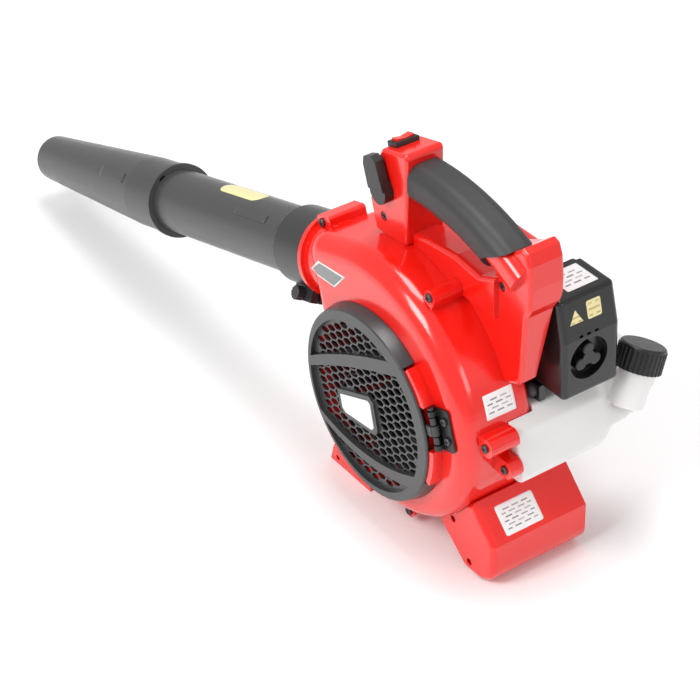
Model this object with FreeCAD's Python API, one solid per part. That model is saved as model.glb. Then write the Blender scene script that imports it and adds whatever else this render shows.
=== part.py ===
"""Handheld petrol leaf blower: a two-stroke engine, a fan in a spiral housing, a blow tube with
its nozzle, and one carrying handle.

The model is in millimetres.  While it is being built, the fan axis runs along Y through the
origin, y = 0 is the front of the intake guard, +X is to the rear and +Z is up.  Each saved piece
is then moved so that the origin is on the floor, under the fan axis, at the middle of the stand's
base plate.  The fan housing, the guard and the tube are drawn level and tipped by tube_droop.
"""
import FreeCAD, Part
import math
import os

V = FreeCAD.Vector
os.makedirs("parts", exist_ok=True)

# ---- driving dimensions -------------------------------------------------------------------
fan_height = 148.0        # fan axis above the floor
tube_droop = 16.5         # the tube points down by this angle, degrees
gap = 0.4                 # free space between pieces that move past each other
seat = 0.1                # free space between pieces that are fixed to each other
fit = 0.05                # radial clearance of a shaft in its bore

# fan housing
wall = 3.0
face_y = 15.0             # outside of the intake face
back_y = 97.0             # outside of the engine face
split_y = 80.0            # joint between the two halves
spiral_r = 117.5          # first quarter of the spiral
spiral_step = 16.5        # the spiral's radius grows by this in each quarter
front_round = 20.0
back_round = 9.0
duct_x = -84.0            # front of the housing, where the outlet neck begins
tongue_r = 20.0
duct_corner_r = 24.0
intake_r = 88.0
boss_r = 7.5
boss_stand_off = 9.0      # centre of a screw boss outside the spiral
boss_angles = (50.5, -96.0, -148.0)
tank_boss_r = 10.0
tank_boss_end = 65.6      # the two bosses that hold the tank stop here
tank_bosses = ((-7.0, 9.0, 33.0), (-18.4, 15.0, 51.0))   # angle, distance outside the spiral, face

# outlet and tube
tube_axis_y = (face_y + back_y) / 2
tube_axis_z = 120.0
tube_r = 35.0
tube_wall = 2.0
neck_r = 38.75
flange_x = -98.0
flange_r = 43.3
flange_t = 6.0
spigot_length = 32.0
spigot_wall = 2.4
clamp_length = 50.0
clamp_wall = 5.5
tube_end_x = -418.0
nozzle_r = 39.3
nozzle_wall = 2.0
nozzle_tip_x = -726.0
nozzle_tip_r = 27.0
nozzle_flange_r = 41.5
nozzle_overlap = 28.0

# intake guard
guard_r = 100.0
guard_base_r = 103.0
guard_wall = 2.4
mesh_y = 5.0
mesh_t = 2.0
cell_pitch_x = 12.6
cell_pitch_z = 8.6
cell_rib = 1.9
guard_open_x = -5.0       # the round opening of the guard is a little off its centre
guard_open_r = 90.0
hinge_x = 108.0
hinge_y = 8.0
hinge_pin_r = 2.0
hinge_half = 22.0

# fan and engine
fan_r = 85.0
fan_front_y = 24.0
fan_plate_y = 84.0
vane_count = 12
vane_t = 2.2
shaft_r = 7.5
engine_y = 124.0          # middle of the cylinder
case_half = 26.6          # half of the crankcase along the shaft
web_r = 27.0
throw = 14.0
bore_r = 17.0
piston_top = 78.0
fin_count = 8
fin_pitch = 8.0
fin_t = 2.0
fin_first = 40.0
flywheel_r = 48.0
flywheel_y0 = 157.0
flywheel_y1 = 171.0
pulley_r = 22.0
starter_r = 62.0
starter_y1 = 206.0
carb_z = 80.0             # middle of the carburettor's throat

# handle
post_y = 58.0             # near face of the handle
handle_mid = 80.0
handle_far = 102.0
grip_half_y = 21.0
grip_half_z = 19.5
grip_wall = 4.0
panel_y = 72.0            # near face of the rear housing

# air filter, tank, stand
cover_y0 = 106.0
cover_y1 = 173.0
cover_z0 = 57.0
cover_z1 = 162.0
tank_y0 = 66.0
tank_y1 = 238.0
tank_x0 = 86.0
tank_x1 = 165.0
tank_z0 = -27.0
tank_z1 = 38.0
tank_wall = 2.5
cap_r = 24.0
cap_lean = 24.0
cap_height = 25.0
leg_y = 36.0
leg_far = 150.0
base_y0 = 100.0


# ---- helpers --------------------------------------------------------------------------------
def save(name, *solids):
    """Move the piece onto the floor, under the fan axis, and write it."""
    shape = solids[0] if len(solids) == 1 else Part.makeCompound(list(solids))
    shape = shape.copy()
    shape.translate(V(0, -engine_y, fan_height))
    shape.exportStep("parts/" + name + ".step")


def tilt(shape):
    """Tip a piece that was drawn with the tube level."""
    shape = shape.copy()
    shape.rotate(V(0, 0, 0), V(0, 1, 0), -tube_droop)
    return shape


def box(x0, x1, y0, y1, z0, z1):
    return Part.makeBox(x1 - x0, y1 - y0, z1 - z0, V(x0, y0, z0))


def rod(r, start, end):
    start = V(*start)
    end = V(*end)
    return Part.makeCylinder(r, (end - start).Length, start, end - start)


def disc_y(r, y0, y1, x=0.0, z=0.0):
    return Part.makeCylinder(r, y1 - y0, V(x, y0, z), V(0, 1, 0))


def ring_y(outer, inner, y0, y1, x=0.0, z=0.0):
    return disc_y(outer, y0, y1, x, z).cut(disc_y(inner, y0 - 1, y1 + 1, x, z))


def disc_x(r, x0, x1, y=tube_axis_y, z=tube_axis_z):
    return Part.makeCylinder(r, x1 - x0, V(x0, y, z), V(1, 0, 0))


def ring_x(outer, inner, x0, x1, y=tube_axis_y, z=tube_axis_z):
    return disc_x(outer, x0, x1, y, z).cut(disc_x(inner, x0 - 1, x1 + 1, y, z))


def prism_y(points, y0, y1):
    """A flat outline in the XZ plane, made as thick as y0 to y1."""
    wire = Part.makePolygon([V(x, y0, z) for x, z in points + points[:1]])
    return Part.Face(wire).extrude(V(0, y1 - y0, 0))


def prism_x(points, x0, x1):
    wire = Part.makePolygon([V(x0, y, z) for y, z in points + points[:1]])
    return Part.Face(wire).extrude(V(x1 - x0, 0, 0))


def spin(profile, origin, axis):
    """Turn a closed outline of (radius, height) points round an axis."""
    origin = V(*origin)
    axis = V(*axis).normalize()
    side = axis.cross(V(0, 0, 1))
    if side.Length < 0.01:
        side = V(1, 0, 0)
    side.normalize()
    points = [origin + side * r + axis * h for r, h in profile + profile[:1]]
    return Part.Face(Part.makePolygon(points)).revolve(origin, axis, 360)


def edges_where(shape, test):
    return [e for e in shape.Edges if test(e)]


def along(edge, axis):
    """True for a straight edge that runs along the named axis."""
    a = edge.Vertexes[0].Point
    b = edge.Vertexes[-1].Point
    d = b - a
    size = {"x": (d.y, d.z), "y": (d.x, d.z), "z": (d.x, d.y)}[axis]
    return d.Length > 0.01 and abs(size[0]) < 0.01 and abs(size[1]) < 0.01


def at_y(edge, y):
    b = edge.BoundBox
    return abs(b.YMin - y) < 0.01 and abs(b.YMax - y) < 0.01


def round_edges(shape, r, test):
    return shape.makeFillet(r, edges_where(shape, test))


def polar(r, degrees):
    a = math.radians(degrees)
    return r * math.cos(a), r * math.sin(a)


def screw(x, y, z, head_r, shank_r, length):
    """A pan-head screw whose head stands on y and whose shank goes towards +Y."""
    head = disc_y(head_r, y - 2.6, y, x, z)
    head = round_edges(head, 1.0, lambda e: at_y(e, y - 2.6))
    slot_a = box(x - 2.6, x + 2.6, y - 3, y - 1.4, z - 0.5, z + 0.5)
    slot_b = box(x - 0.5, x + 0.5, y - 3, y - 1.4, z - 2.6, z + 2.6)
    return head.fuse(disc_y(shank_r, y, y + length, x, z)).cut(slot_a).cut(slot_b)


# ---- fan housing ------------------------------------------------------------------------------
half_step = spiral_step / 2
centres = {0: (-half_step, -half_step), 1: (half_step, -half_step),
           2: (half_step, half_step), 3: (-half_step, half_step)}
quarter_r = {0: spiral_r - spiral_step, 1: spiral_r,
             2: spiral_r + spiral_step, 3: spiral_r + 2 * spiral_step}
housing_top = half_step + quarter_r[3]
tongue_x = duct_x - tongue_r
tongue_reach = quarter_r[0] + tongue_r
tongue_z = centres[0][1] + math.sqrt(tongue_reach ** 2 - (tongue_x - centres[0][0]) ** 2)
tongue_angle = math.degrees(math.atan2(tongue_z - centres[0][1], tongue_x - centres[0][0]))


def arc(centre, r, a0, a1, y):
    """An arc about a centre in the XZ plane, from angle a0 to a1."""
    pts = []
    for a in (a0, (a0 + a1) / 2, a1):
        dx, dz = polar(r, a)
        pts.append(V(centre[0] + dx, y, centre[1] + dz))
    return Part.Arc(*pts).toShape()


def line(p, q):
    return Part.LineSegment(p, q).toShape()


def housing_outline(inset, y):
    """The spiral and the outlet duct as one closed outline of tangent arcs and lines."""
    r = {n: quarter_r[n] - inset for n in quarter_r}
    top = housing_top - inset
    left = duct_x + inset
    corner = (duct_x + duct_corner_r, housing_top - duct_corner_r)
    edges = [
        line(V(corner[0], y, top), V(centres[3][0], y, top)),
        arc(centres[3], r[3], 90, 0, y),
        arc(centres[2], r[2], 0, -90, y),
        arc(centres[1], r[1], -90, -180, y),
        arc(centres[0], r[0], 180, tongue_angle, y),
        arc((tongue_x, tongue_z), tongue_r + inset, tongue_angle - 180, 0, y),
        line(V(left, y, tongue_z), V(left, y, corner[1])),
        arc(corner, duct_corner_r - inset, 180, 90, y)]
    return Part.Wire(Part.__sortEdges__(edges))


def housing_body(inset, y0, y1, front, back):
    body = Part.Face(housing_outline(inset, y0)).extrude(V(0, y1 - y0, 0))
    body = round_edges(body, front, lambda e: at_y(e, y0))
    return round_edges(body, back, lambda e: at_y(e, y1))


def housing_radius(angle):
    """Distance from the fan axis to the outside of the spiral, at an angle in degrees."""
    n = 3 if 0 <= angle <= 90 else 2 if -90 <= angle < 0 else 1
    cx, cz = centres[n]
    ux, uz = polar(1.0, angle)
    along_ray = ux * cx + uz * cz
    across = ux * cz - uz * cx
    return along_ray + math.sqrt(quarter_r[n] ** 2 - across ** 2)


boss_places = [polar(housing_radius(a) + boss_stand_off, a) for a in boss_angles]
boss_face = face_y + front_round - 2
spigot_r = tube_r - tube_wall - fit
spigot_bore = spigot_r - spigot_wall
lug_x = -83.0
lug_z = housing_top + 2.0

body = housing_body(0, face_y, back_y, front_round, back_round)
cavity = housing_body(wall, face_y + wall, back_y - wall, front_round - wall, back_round - wall)
body = body.fuse(disc_x(neck_r, flange_x, duct_x + 30))
body = body.fuse(disc_x(flange_r, flange_x, flange_x + flange_t))
body = body.fuse(disc_x(spigot_r, flange_x - spigot_length, flange_x))
for angle, (bx, bz) in zip(boss_angles, boss_places):
    root_x, root_z = polar(housing_radius(angle) - 1.5, angle)
    side_x, side_z = polar(boss_r, angle + 90)
    web = prism_y([(bx + side_x, bz + side_z), (bx - side_x, bz - side_z),
                   (root_x - side_x, root_z - side_z), (root_x + side_x, root_z + side_z)],
                  boss_face, back_y - 6)
    body = body.fuse(disc_y(boss_r, boss_face, back_y - 6, bx, bz)).fuse(web)
tank_boss_places = []
for angle, stand_off, boss_y in tank_bosses:
    bx, bz = polar(housing_radius(angle) + stand_off, angle)
    tank_boss_places.append((bx, bz, boss_y))
    root_x, root_z = polar(housing_radius(angle) - 2.5, angle)
    side_x, side_z = polar(tank_boss_r, angle + 90)
    web = prism_y([(bx + side_x, bz + side_z), (bx - side_x, bz - side_z),
                   (root_x - side_x, root_z - side_z), (root_x + side_x, root_z + side_z)],
                  boss_y, tank_boss_end)
    body = body.fuse(disc_y(tank_boss_r, boss_y, tank_boss_end, bx, bz)).fuse(web)
lug = box(lug_x - 9, lug_x + 14, 42, split_y + 5, housing_top - 12, housing_top + 9)
lug = round_edges(lug, 4, lambda e: along(e, "y"))
body = body.fuse(lug).cut(cavity)
body = body.cut(disc_x(spigot_bore, flange_x - spigot_length - 1, duct_x + 40))
body = body.cut(disc_y(2.0, 40, split_y + 4, lug_x, lug_z))
for bx, bz in boss_places:
    body = body.cut(disc_y(2.0, boss_face - 1, back_y - 10, bx, bz))
for bx, bz, boss_y in tank_boss_places:
    body = body.cut(disc_y(2.0, boss_y - 1, boss_y + 13, bx, bz))

# the intake: an opening, a raised lip that locates the guard, and a wall beside the hinge
lip = ring_y(intake_r + 6, intake_r, face_y - 6, face_y + wall)
notch_low = -36.0
notch_high = 34.0
reach = guard_base_r + 12
wedge = [(0, 0)] + [polar(reach, notch_low + (notch_high - notch_low) * i / 8) for i in range(9)]
guard_seat = ring_y(guard_base_r + 3.5, guard_base_r - 4.5, 2.5, face_y + 6)
guard_seat = guard_seat.common(prism_y(wedge, 0, 40))
hinge_space = box(hinge_x - 14, hinge_x + 14, 0, face_y, -hinge_half - 1, hinge_half + 1)
guard_seat = guard_seat.cut(hinge_space)
body = body.fuse(guard_seat).cut(disc_y(intake_r, 0, face_y + wall + 1)).fuse(lip)

# the engine side: a round opening for the crankcase nose, and four bolt holes
case_nose_r = 25.0
case_bolt_places = [(-26.0, -26.0), (26.0, -26.0), (-26.0, 22.0), (26.0, 22.0)]
body_s = tilt(body)
body_s = body_s.cut(disc_y(case_nose_r + seat, back_y - wall - 2, back_y + 1))
for bx, bz in case_bolt_places:
    body_s = body_s.cut(disc_y(2.6, back_y - wall - 2, back_y + 1, bx, bz))
near_side = box(-400, 400, -10, split_y, -400, 400)
far_side = box(-400, 400, split_y, 300, -400, 400)
volute_left = body_s.common(near_side)
volute_right = body_s.common(far_side)

save("volute_left", volute_left)
save("volute_right", volute_right)

housing_screws = [tilt(screw(bx, boss_face, bz, 4.5, 1.9, 48)) for bx, bz in boss_places]
housing_screws.append(tilt(screw(lug_x, 42, lug_z, 4.5, 1.9, 40)))
for bx, bz, boss_y in tank_boss_places:
    housing_screws.append(tilt(screw(bx, boss_y, bz, 4.5, 1.9, 12)))
save("housing_screws", *housing_screws)


def clear_of_housing(margin):
    """The space that other pieces leave round the housing, standing as the blower stands."""
    space = Part.Face(housing_outline(-margin, face_y - 2)).extrude(V(0, back_y - face_y + 2 + margin, 0))
    for angle, (bx, bz) in zip(boss_angles, boss_places):
        root_x, root_z = polar(housing_radius(angle) - 4, angle)
        side_x, side_z = polar(boss_r + margin, angle + 90)
        space = space.fuse(disc_y(boss_r + margin, boss_face - 4, back_y, bx, bz))
        space = space.fuse(prism_y([(bx + side_x, bz + side_z), (bx - side_x, bz - side_z),
                                    (root_x - side_x, root_z - side_z), (root_x + side_x, root_z + side_z)],
                                   boss_face - 4, back_y))
    return tilt(space)


house_space = clear_of_housing(2 * seat)

# ---- intake guard ----------------------------------------------------------------------------
guard_base_y = face_y - gap
frame_back = mesh_y + mesh_t
open_mid = (guard_open_x, -2.0)


def arc_through(points, y):
    return Part.Arc(*[V(x, y, z) for x, z in points]).toShape()


def bar(upper, lower):
    """A curved bar across the guard, between two arcs."""
    a = arc_through(upper, 0)
    b = arc_through(lower, 0)
    ends = [line(a.Vertexes[0].Point, b.Vertexes[0].Point),
            line(a.Vertexes[-1].Point, b.Vertexes[-1].Point)]
    return Part.Face(Part.Wire(Part.__sortEdges__([a, b] + ends))).extrude(V(0, frame_back, 0))


upper_bar = bar([(-100, 29), (-20, 50), (100, 64)], [(-100, 19), (-20, 37), (100, 50)])
lower_bar = bar([(-102, -20), (-20, -57), (100, -48)], [(-102, -28), (-20, -67), (100, -64)])
rim = spin([(guard_r - 1.5, 0), (guard_r, 1.2), (guard_base_r, guard_base_y),
            (guard_base_r - guard_wall, guard_base_y), (guard_r - guard_wall, frame_back),
            (guard_open_r - 20, frame_back), (guard_open_r - 20, 0)], (0, 0, 0), (0, 1, 0))
opening = disc_y(guard_open_r, -1, frame_back + 1, *open_mid)
frame = rim.fuse(disc_y(guard_open_r - 19, 0, frame_back)).cut(opening.cut(upper_bar).cut(lower_bar))
wall_cut = ring_y(reach, guard_r - 6, frame_back - 2, face_y + 1)
wedge_cut = [(0, 0)] + [polar(reach + 5, notch_low - 2 + (notch_high - notch_low + 4) * i / 8)
                        for i in range(9)]
wall_cut = wall_cut.fuse(ring_y(reach, guard_base_r - 4.5 - gap, 2.5 - gap, frame_back))
frame = frame.cut(wall_cut.common(prism_y(wedge_cut, 0, 40)))

badge = [(-46, 1), (4, 6), (7.5, 2.5), (5.5, -23), (1.5, -26), (-43, -18.5), (-47, -14)]
badge_rim = [(-52, 5), (6, 11), (12.5, 5), (10, -26), (4, -32), (-46, -23.5), (-53, -16)]


def inside(x, z, outline):
    """True when a point is within a convex outline that is listed clockwise."""
    for (x0, z0), (x1, z1) in zip(outline, outline[1:] + outline[:1]):
        if (x1 - x0) * (z - z0) - (z1 - z0) * (x - x0) > 0:
            return False
    return True


cell_w = cell_pitch_x / 1.5 - 0.7 * cell_rib
cell_h = cell_pitch_z / 2 - cell_rib / 2
holes = []
columns = int(guard_open_r / cell_pitch_x) + 1
rows = int(guard_open_r / cell_pitch_z) + 1
for i in range(-columns, columns + 1):
    for k in range(-rows, rows + 1):
        cx = open_mid[0] + i * cell_pitch_x
        cz = open_mid[1] + (k + 0.5 * (i % 2)) * cell_pitch_z
        if math.hypot(cx - open_mid[0], cz - open_mid[1]) > guard_open_r - cell_w + 3:
            continue
        if inside(cx, cz, badge_rim):
            continue
        corners = [(cx + cell_w, cz), (cx + cell_w / 2, cz + cell_h), (cx - cell_w / 2, cz + cell_h),
                   (cx - cell_w, cz), (cx - cell_w / 2, cz - cell_h), (cx + cell_w / 2, cz - cell_h)]
        holes.append(Part.makePolygon([V(x, mesh_y, z) for x, z in corners + corners[:1]]))
edge = Part.Wire(Part.makeCircle(guard_open_r + 1, V(open_mid[0], mesh_y, open_mid[1]), V(0, 1, 0)))
plate = Part.Face([edge] + holes).extrude(V(0, mesh_t, 0))
if plate.Volume < 0:
    plate.reverse()
guard = frame.fuse(plate).fuse(prism_y(badge_rim, 2.0, mesh_y + 0.5))

knuckle_tab = box(guard_r - 8, hinge_x, 3.0, frame_back - 1, -5, 5)
knuckle = Part.makeCylinder(4.4, 10, V(hinge_x, hinge_y, -5), V(0, 0, 1))
pin_hole = Part.makeCylinder(hinge_pin_r + fit, 60, V(hinge_x, hinge_y, -30), V(0, 0, 1))
screw_x = -(guard_base_r + 4.5)
screw_tab = box(screw_x - 5, -guard_base_r + 1, guard_base_y - 5, guard_base_y, -6, 6)
guard = guard.fuse(knuckle_tab).fuse(knuckle).cut(pin_hole)
guard = guard.fuse(screw_tab).cut(disc_y(2.0, 5, face_y, screw_x, 0))
save("intake_guard", tilt(guard))
save("guard_badge", tilt(prism_y(badge, 0.9, 2.0)))

# the hinge: a black bracket on the housing face, a pin, and a coil spring at each end of the knuckle
bracket = box(98, 127, guard_base_y - 2.2, guard_base_y, -hinge_half, hinge_half)
bracket = round_edges(bracket, 4, lambda e: along(e, "y"))
for z0 in (-20.0, 15.0):
    ear = Part.makeCylinder(4.2, 5, V(hinge_x, hinge_y, z0), V(0, 0, 1))
    bracket = bracket.fuse(ear).fuse(box(hinge_x - 4.2, hinge_x + 4.2, hinge_y, guard_base_y, z0, z0 + 5))
bracket = bracket.cut(pin_hole)
bracket = bracket.cut(disc_y(1.9, 5, face_y, 120, -10)).cut(disc_y(1.9, 5, face_y, 120, 10))
save("guard_hinge", tilt(bracket))
hinge_pin = Part.makeCylinder(hinge_pin_r, 44, V(hinge_x, hinge_y, -22), V(0, 0, 1))
hinge_pin = hinge_pin.fuse(Part.makeCylinder(3.6, 1.6, V(hinge_x, hinge_y, 22), V(0, 0, 1)))
save("guard_hinge_pin", tilt(hinge_pin))
springs = []
for z0 in (-13.5, 6.5):
    coil = Part.makeCylinder(3.6, 7, V(hinge_x, hinge_y, z0), V(0, 0, 1))
    springs.append(coil.cut(Part.makeCylinder(2.4, 8, V(hinge_x, hinge_y, z0 - 0.5), V(0, 0, 1))))
save("guard_springs", *[tilt(s) for s in springs])
hinge_screws = [tilt(screw(120, guard_base_y - 2.3, z, 4.0, 1.7, 1.9)) for z in (-10, 10)]
save("hinge_screws", *hinge_screws)
save("guard_latch_screw", tilt(screw(screw_x, guard_base_y - 5.1, 0, 4.2, 1.8, 5.4)))

# ---- tube clamp, upper tube, nozzle -----------------------------------------------------------
clamp_x1 = flange_x - 0.5
clamp_x0 = clamp_x1 - clamp_length
clamp_outer = tube_r + clamp_wall
clamp = disc_x(clamp_outer, clamp_x0, clamp_x1)
clamp = clamp.fuse(Part.makeCone(clamp_outer - 3.5, clamp_outer, 8, V(clamp_x0 - 8, tube_axis_y, tube_axis_z),
                                 V(1, 0, 0)))
lug_a = math.radians(-118)
lug_dir = V(0, math.cos(lug_a), math.sin(lug_a))
lug_side = V(0, -math.sin(lug_a), math.cos(lug_a))
clamp_mid = V(0, tube_axis_y, tube_axis_z)


def clamp_block(x0, x1, r0, r1, half):
    """A block that stands out of the clamp, centred on its lug."""
    corner = clamp_mid + lug_dir * r0 - lug_side * half + V(x0, 0, 0)
    points = [corner, corner + V(x1 - x0, 0, 0), corner + V(x1 - x0, 0, 0) + lug_side * 2 * half,
              corner + lug_side * 2 * half, corner]
    return Part.Face(Part.makePolygon(points)).extrude(lug_dir * (r1 - r0))


clamp = clamp.fuse(clamp_block(clamp_x0 + 10, clamp_x1 - 8, tube_r - 5, tube_r + 19, 10))
clamp = clamp.cut(disc_x(tube_r + fit, clamp_x0 - 10, clamp_x1 + 1))
clamp = clamp.cut(clamp_block(clamp_x0 - 10, clamp_x1 + 1, tube_r - 6, tube_r + 20, 1.5))
bolt_mid = clamp_mid + lug_dir * (tube_r + 12.5) + V((clamp_x0 + clamp_x1) / 2, 0, 0)
clamp = clamp.cut(Part.makeCylinder(3.1, 60, bolt_mid - lug_side * 30, lug_side))
save("tube_clamp", tilt(clamp))
clamp_bolt = Part.makeCylinder(3.0, 30, bolt_mid - lug_side * 10.1, lug_side)
bolt_head = Part.makeCylinder(6.5, 9, bolt_mid - lug_side * 19.1, lug_side)
for i in range(12):
    a = math.radians(30 * i)
    offset = lug_dir * 6.5 * math.cos(a) + V(1, 0, 0) * 6.5 * math.sin(a)
    bolt_head = bolt_head.fuse(Part.makeCylinder(0.9, 9, bolt_mid - lug_side * 19.1 + offset, lug_side))
save("clamp_bolt", tilt(clamp_bolt.fuse(bolt_head)))
nut = Part.makeCylinder(5.4, 5, bolt_mid + lug_side * 10.2, lug_side)
save("clamp_nut", tilt(nut.cut(Part.makeCylinder(3.0 + fit, 12, bolt_mid + lug_side * 8, lug_side))))

tube_start_x = flange_x - 0.4
nozzle_start_x = tube_end_x + 5
tube_stop_x = nozzle_start_x - nozzle_overlap
upper_tube = ring_x(tube_r, tube_r - tube_wall, tube_stop_x, tube_start_x)
peg_x = nozzle_start_x - 14
peg_reach = 2.4
pegs = [Part.makeCylinder(2.2, peg_reach + 1, V(peg_x, tube_axis_y, tube_axis_z) + side * (tube_r - 1), side)
        for side in (V(0, 0, 1), V(0, 0, -1))]
upper_tube = upper_tube.fuse(pegs[0]).fuse(pegs[1])
save("upper_tube", tilt(upper_tube))

taper_x = nozzle_start_x - 62
nozzle = disc_x(nozzle_r, taper_x, nozzle_start_x)
tip = Part.makeCone(nozzle_tip_r, nozzle_r, taper_x - nozzle_tip_x, V(nozzle_tip_x, tube_axis_y, tube_axis_z),
                    V(1, 0, 0))
nozzle = nozzle.fuse(tip).fuse(disc_x(nozzle_flange_r, nozzle_start_x - 6, nozzle_start_x))
hollow = disc_x(tube_r + fit, tube_stop_x - 1, nozzle_start_x + 1)
hollow = hollow.fuse(disc_x(nozzle_r - nozzle_wall, taper_x, tube_stop_x - 1))
hollow = hollow.fuse(Part.makeCone(nozzle_tip_r - nozzle_wall, nozzle_r - nozzle_wall, taper_x - nozzle_tip_x,
                                   V(nozzle_tip_x, tube_axis_y, tube_axis_z), V(1, 0, 0)))
nozzle = nozzle.cut(hollow).cut(disc_x(nozzle_tip_r - nozzle_wall, nozzle_tip_x - 1, nozzle_tip_x + 2))
# the bayonet: each peg enters along the tube, then turns in a groove inside the nozzle
turn_slot = ring_x(tube_r + peg_reach + gap, tube_r - 1, peg_x - 2.7, peg_x + 2.7)
entry_slot = ring_x(tube_r + peg_reach + gap, tube_r - 1, peg_x, nozzle_start_x + 1)
for side in (1, -1):
    for slot, a0, a1 in ((turn_slot, -6, 34), (entry_slot, 22, 34)):
        wedge_points = [(tube_axis_y, tube_axis_z)]
        for i in range(5):
            a = math.radians(90 * side + a0 + (a1 - a0) * i / 4)
            wedge_points.append((tube_axis_y + 60 * math.cos(a), tube_axis_z + 60 * math.sin(a)))
        nozzle = nozzle.cut(slot.common(prism_x(wedge_points, peg_x - 5, nozzle_start_x + 2)))
save("nozzle", tilt(nozzle))

# ---- fan and crankshaft -------------------------------------------------------------------------
hub_y0 = 70.0
hub_y1 = 91.0
impeller = disc_y(fan_r, fan_plate_y - 3, fan_plate_y).fuse(disc_y(14, hub_y0, hub_y1))
impeller = impeller.fuse(Part.makeCone(34, 14, fan_plate_y - 3 - hub_y0, V(0, fan_plate_y - 3, 0), V(0, -1, 0)))
inner_r = 32.0
vane_points = []
for t in (0.0, 0.5, 1.0):
    r = inner_r + (fan_r - inner_r) * t
    vane_points.append(polar(r, 30 * t * t))
for i in range(vane_count):
    curve = Part.Arc(*[V(x, fan_front_y, z) for x, z in vane_points]).toShape()
    blade = curve.extrude(V(0, fan_plate_y - 1 - fan_front_y, 0))
    blade = blade.makeOffsetShape(vane_t, 0.01, fill=True)
    blade = blade.cut(spin([(inner_r - 10, 0), (inner_r + 12, 0), (inner_r - 1, 30), (inner_r - 10, 30)],
                           (0, fan_front_y, 0), (0, 1, 0)))
    blade.rotate(V(0, 0, 0), V(0, 1, 0), 360 * i / vane_count)
    impeller = impeller.fuse(blade)
impeller = impeller.cut(disc_y(shaft_r + fit, hub_y0 - 5, hub_y1 + 5))
impeller = impeller.common(disc_y(fan_r, fan_front_y, hub_y1))
save("impeller", impeller)

nut_y0 = 63.0
thread_r = 5.0
fan_nut = prism_y([polar(10, 60 * i) for i in range(6)], nut_y0, hub_y0 - seat)
save("fan_nut", fan_nut.cut(disc_y(thread_r + fit, nut_y0 - 1, hub_y0 + 1)))

web_y = [(engine_y - 15, engine_y - 7), (engine_y + 7, engine_y + 15)]
pin_r = 6.0
shaft_tail_y = 176.0
crank = disc_y(shaft_r, hub_y0, web_y[0][0]).fuse(disc_y(thread_r, nut_y0 - 2, hub_y0))
crank = crank.fuse(disc_y(shaft_r, web_y[1][1], flywheel_y1)).fuse(disc_y(thread_r, flywheel_y1, shaft_tail_y))
for y0, y1 in web_y:
    web = disc_y(web_r, y0, y1)
    for side in (1, -1):
        web = web.cut(box(min(11 * side, 40 * side), max(11 * side, 40 * side), y0 - 1, y1 + 1, 2, 40))
    crank = crank.fuse(web)
crank = crank.fuse(disc_y(pin_r, engine_y - 8, engine_y + 8, 0, throw))
save("crankshaft", crank)

# ---- crankcase, cylinder, piston ----------------------------------------------------------------
case_y0 = back_y + seat
case_y1 = engine_y + case_half + 3
case_r = 33.5
case_top = 34.0
bearing_r = 13.0
room_y0 = engine_y - 18
room_y1 = engine_y + 18
starter_lugs = (35.0, 145.0, 270.0)
coil_lugs = (74.0, 106.0)
lug_reach = 55.0
lug_face = 155.0
case = disc_y(case_r, case_y0, case_y1).fuse(disc_y(42, case_y0, case_y0 + 5))
case = case.fuse(disc_y(case_nose_r, back_y - wall, case_y0 + 1))
case = case.fuse(box(-27, 27, engine_y - 24, engine_y + 24, 0, case_top))
for a in starter_lugs + coil_lugs:
    lx, lz = polar(lug_reach, a)
    sx, sz = polar(5, a + 90)
    arm = prism_y([(sx, sz), (-sx, -sz), (lx - sx, lz - sz), (lx + sx, lz + sz)], case_y1 - 4, case_y1)
    case = case.fuse(arm).fuse(disc_y(5.0, case_y1 - 4, lug_face - seat, lx, lz))
case = case.cut(disc_y(web_r + 1.5, room_y0, room_y1))
case = case.cut(box(-60, 60, back_y - 5, case_y1 - 4, case_top, 90))
case = case.cut(Part.makeCylinder(bore_r + 3.1, 30, V(0, engine_y, 8), V(0, 0, 1)))
case = case.cut(disc_y(shaft_r + gap, 80, 170))
case = case.cut(disc_y(bearing_r + seat, case_y0 + 1.5, room_y0 + 1))
case = case.cut(disc_y(bearing_r + seat, room_y1 - 1, case_y1 - 1.5))
case = case.cut(disc_y(bearing_r - 1.5, back_y - wall - 1, case_y0 + 2))
case = case.cut(disc_y(bearing_r - 1.5, case_y1 - 2, case_y1 + 1))
for bx, bz in case_bolt_places:
    case = case.cut(disc_y(2.6, back_y, case_y0 + 12, bx, bz))
for a in starter_lugs + coil_lugs:
    lx, lz = polar(lug_reach, a)
    case = case.cut(disc_y(1.9, case_y1 - 3, lug_face + 1, lx, lz))
save("crankcase_front", case.common(box(-90, 90, 80, engine_y - seat / 2, -90, 90)))
save("crankcase_rear", case.common(box(-90, 90, engine_y + seat / 2, 170, -90, 90)))
case_bolts = [screw(bx, case_y0 - wall - 2 * seat, bz, 4.5, 2.4, 14) for bx, bz in case_bolt_places]

bearings = [ring_y(bearing_r, shaft_r + fit, case_y0 + 1.6, room_y0),
            ring_y(bearing_r, shaft_r + fit, room_y1, room_y1 + 8)]
save("crank_bearings", *bearings)

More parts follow.
